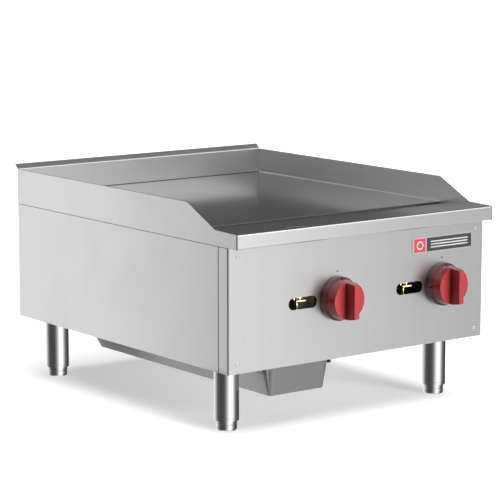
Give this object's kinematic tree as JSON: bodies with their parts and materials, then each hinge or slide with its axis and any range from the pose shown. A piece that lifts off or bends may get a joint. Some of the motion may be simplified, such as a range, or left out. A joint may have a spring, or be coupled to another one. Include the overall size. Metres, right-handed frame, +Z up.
{
  "type": "countertop gas griddle",
  "caption": "Countertop gas griddle with a thick steel plate between splash guards, a front grease trough, burner knobs, short adjustable legs and a slide-out grease tray under the body.",
  "frame": {"origin": "centre of the footprint, on the surface the feet stand on", "axes": "+Z up; the cook stands on the -Y side, where the knobs are; +X is to the right of a cook facing the griddle"},
  "size_m": [0.61, 0.794, 0.43],
  "materials": {
    "plate_steel": "ground and polished hot plate steel",
    "splash_steel": "brushed stainless steel",
    "trough_steel": "brushed stainless steel",
    "panel_steel": "brushed stainless steel",
    "galvanised_steel": "dull galvanised sheet",
    "tray_steel": "dull folded steel sheet",
    "fastener_steel": "zinc-plated steel",
    "leg_steel": "chrome-plated steel tube",
    "foot_steel": "chrome-plated steel",
    "pipe_black": "black steel gas pipe",
    "burner_steel": "aluminised steel tube",
    "shutter_steel": "zinc-plated sheet",
    "knob_red": "glossy red moulding",
    "stem_steel": "turned steel",
    "brass": "turned brass",
    "badge_aluminium": "satin aluminium",
    "badge_red": "red enamel field, left blank",
    "badge_grey": "dark grey enamel field, left blank",
    "mark_black": "printed index mark"
  },
  "bodies": {
    "cabinet": {"back_splash": "splash_steel", "badge_grey_field": "badge_grey", "badge_plate": "badge_aluminium", "badge_red_field": "badge_red", "base_pan": "galvanised_steel", "burner_left": "burner_steel", "burner_orifice_left": "brass", "burner_orifice_right": "brass", "burner_right": "burner_steel", "front_cross_member": "galvanised_steel", "front_left_leg": "leg_steel", "front_panel": "panel_steel", "front_right_leg": "leg_steel", "gas_manifold": "pipe_black", "gas_supply_pipe": "pipe_black", "grease_chute": "galvanised_steel", "grease_trough": "trough_steel", "griddle_plate": "plate_steel", "index_marks": "mark_black", "leg_bolts": "fastener_steel", "leg_inserts": "fastener_steel", "leg_nuts": "fastener_steel", "leg_plates": "galvanised_steel", "manifold_brackets": "galvanised_steel", "manifold_elbow": "pipe_black", "manifold_plug": "pipe_black", "panel_screws": "fastener_steel", "pilot_brackets": "galvanised_steel", "pilot_burner_left": "brass", "pilot_burner_right": "brass", "pilot_supply_tube_left": "brass", "pilot_supply_tube_right": "brass", "pilot_valve_left": "brass", "pilot_valve_right": "brass", "rear_cross_member": "galvanised_steel", "rear_left_leg": "leg_steel", "rear_panel": "galvanised_steel", "rear_right_leg": "leg_steel", "side_panel_left": "panel_steel", "side_panel_right": "panel_steel", "side_splash_left": "splash_steel", "side_splash_right": "splash_steel", "tray_rail_left": "galvanised_steel", "tray_rail_right": "galvanised_steel", "valve_body_left": "brass", "valve_body_right": "brass"},
    "grease_tray": {"grease_tray": "tray_steel"},
    "knob_left": {"knob_left": "knob_red", "valve_stem_left": "stem_steel"},
    "air_shutter_left": {"air_shutter_left": "shutter_steel"},
    "pilot_screw_left": {"pilot_screw_left": "brass"},
    "knob_right": {"knob_right": "knob_red", "valve_stem_right": "stem_steel"},
    "air_shutter_right": {"air_shutter_right": "shutter_steel"},
    "pilot_screw_right": {"pilot_screw_right": "brass"},
    "front_left_foot": {"front_left_foot": "foot_steel"},
    "front_right_foot": {"front_right_foot": "foot_steel"},
    "rear_left_foot": {"rear_left_foot": "foot_steel"},
    "rear_right_foot": {"rear_right_foot": "foot_steel"}
  },
  "joints": [
    {"name": "grease_tray_slide", "type": "slide", "parent": "cabinet", "child": "grease_tray", "axis": [0, -1, 0], "range_m": [0, 0.62]},
    {"name": "knob_left_turn", "type": "hinge", "parent": "cabinet", "child": "knob_left", "pos_m": [-0.056, -0.34, 0.234], "axis": [0, -1, 0], "range_deg": [0, 90]},
    {"name": "knob_right_turn", "type": "hinge", "parent": "cabinet", "child": "knob_right", "pos_m": [0.2, -0.34, 0.234], "axis": [0, -1, 0], "range_deg": [0, 90]},
    {"name": "air_shutter_left_turn", "type": "hinge", "parent": "cabinet", "child": "air_shutter_left", "pos_m": [-0.056, -0.282, 0.234], "axis": [0, 1, 0], "range_deg": [0, 90]},
    {"name": "air_shutter_right_turn", "type": "hinge", "parent": "cabinet", "child": "air_shutter_right", "pos_m": [0.2, -0.282, 0.234], "axis": [0, 1, 0], "range_deg": [0, 90]},
    {"name": "pilot_screw_left_turn", "type": "hinge", "parent": "cabinet", "child": "pilot_screw_left", "pos_m": [-0.1355, -0.318, 0.21335], "axis": [0, -1, 0], "range_deg": [0, 720]},
    {"name": "pilot_screw_right_turn", "type": "hinge", "parent": "cabinet", "child": "pilot_screw_right", "pos_m": [0.1205, -0.318, 0.21335], "axis": [0, -1, 0], "range_deg": [0, 720]},
    {"name": "front_left_foot_adjust", "type": "slide", "parent": "cabinet", "child": "front_left_foot", "axis": [0, 0, 1], "range_m": [-0.025, 0.015]},
    {"name": "front_right_foot_adjust", "type": "slide", "parent": "cabinet", "child": "front_right_foot", "axis": [0, 0, 1], "range_m": [-0.025, 0.015]},
    {"name": "rear_left_foot_adjust", "type": "slide", "parent": "cabinet", "child": "rear_left_foot", "axis": [0, 0, 1], "range_m": [-0.025, 0.015]},
    {"name": "rear_right_foot_adjust", "type": "slide", "parent": "cabinet", "child": "rear_right_foot", "axis": [0, 0, 1], "range_m": [-0.025, 0.015]}
  ]
}
